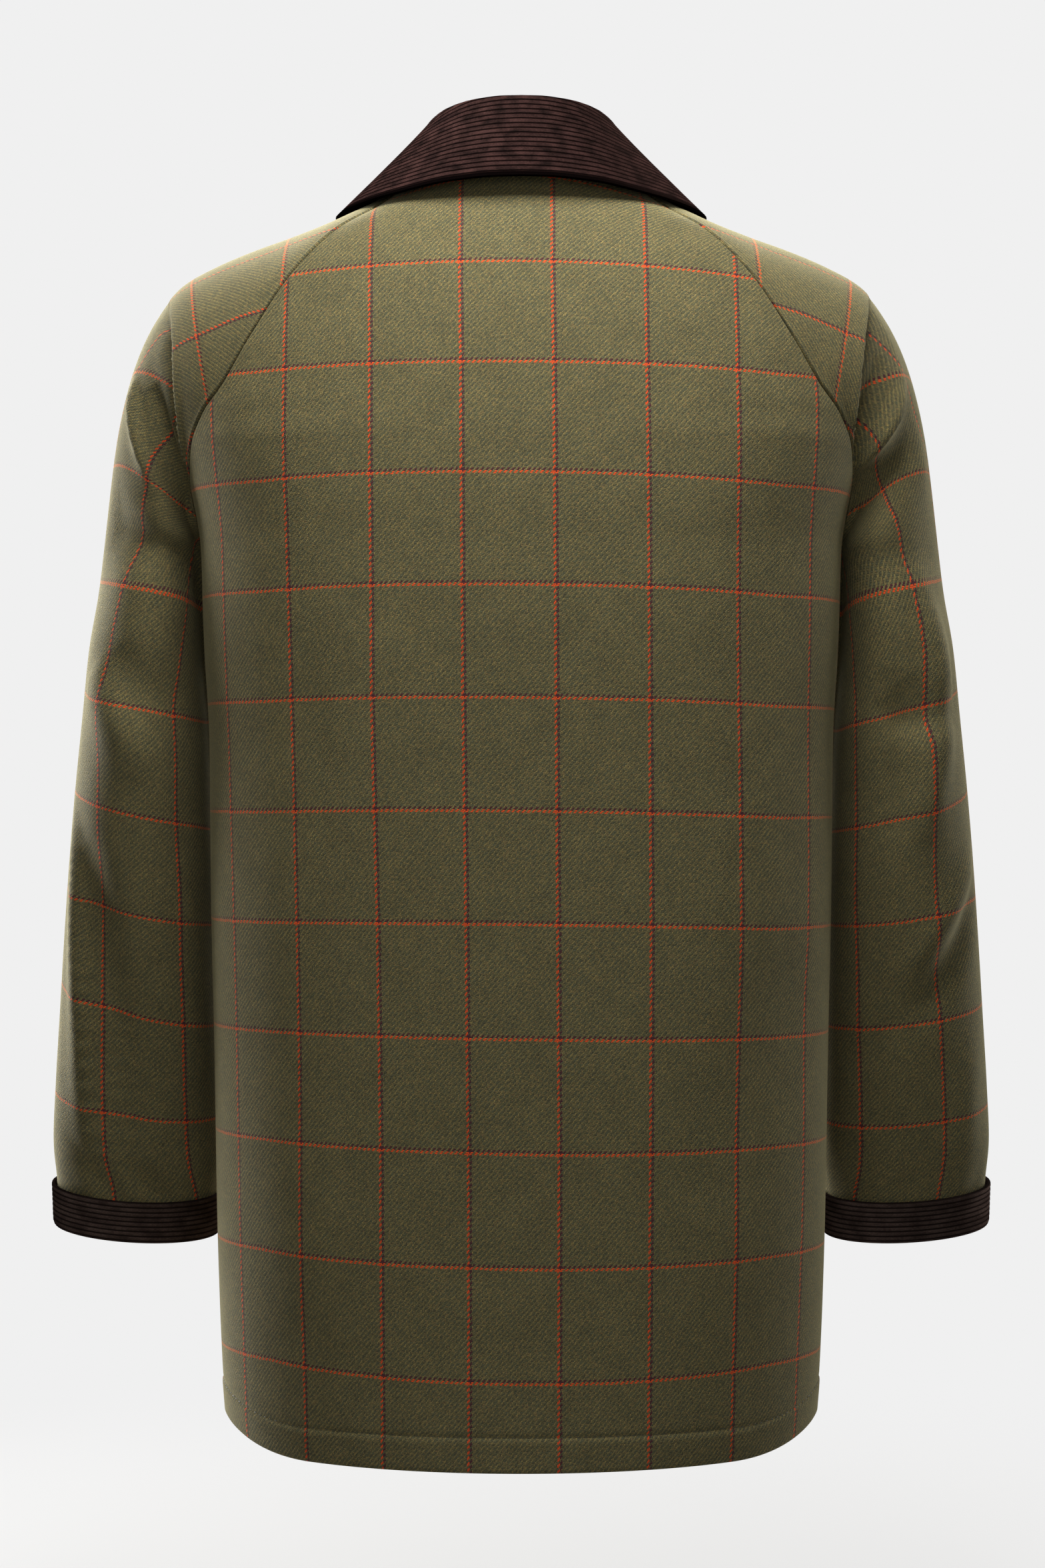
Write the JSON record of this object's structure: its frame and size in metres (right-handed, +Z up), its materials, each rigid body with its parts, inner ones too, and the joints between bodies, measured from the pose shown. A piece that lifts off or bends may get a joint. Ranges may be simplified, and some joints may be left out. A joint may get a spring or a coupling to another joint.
{
  "type": "wool jacket",
  "caption": "Hip-length wool tweed jacket with raglan sleeves, a corduroy turn-down collar, turned-back corduroy cuffs and a buttoned front, hollow and filled out as worn.",
  "frame": {"origin": "middle of the neck opening, level with the collar seam at the centre back, where the jacket hangs on its wearer", "axes": "+Z up; the fronts and the buttons face -Y and the back faces +Y; the wearer's left is +X"},
  "size_m": [0.6622, 0.2945, 0.8984],
  "materials": {
    "tweed": "brushed wool twill with a windowpane check",
    "corduroy": "cotton corduroy, wales across",
    "horn": "polished dark horn"
  },
  "bodies": {
    "root": {"back": "tweed", "front_left": "tweed", "front_right": "tweed", "sleeve_left_back": "tweed", "sleeve_left_front": "tweed", "sleeve_right_back": "tweed", "sleeve_right_front": "tweed", "collar": "corduroy", "cuff_left": "corduroy", "cuff_right": "corduroy", "button_1": "horn", "button_2": "horn", "button_3": "horn", "button_4": "horn", "button_5": "horn"}
  },
  "joints": []
}
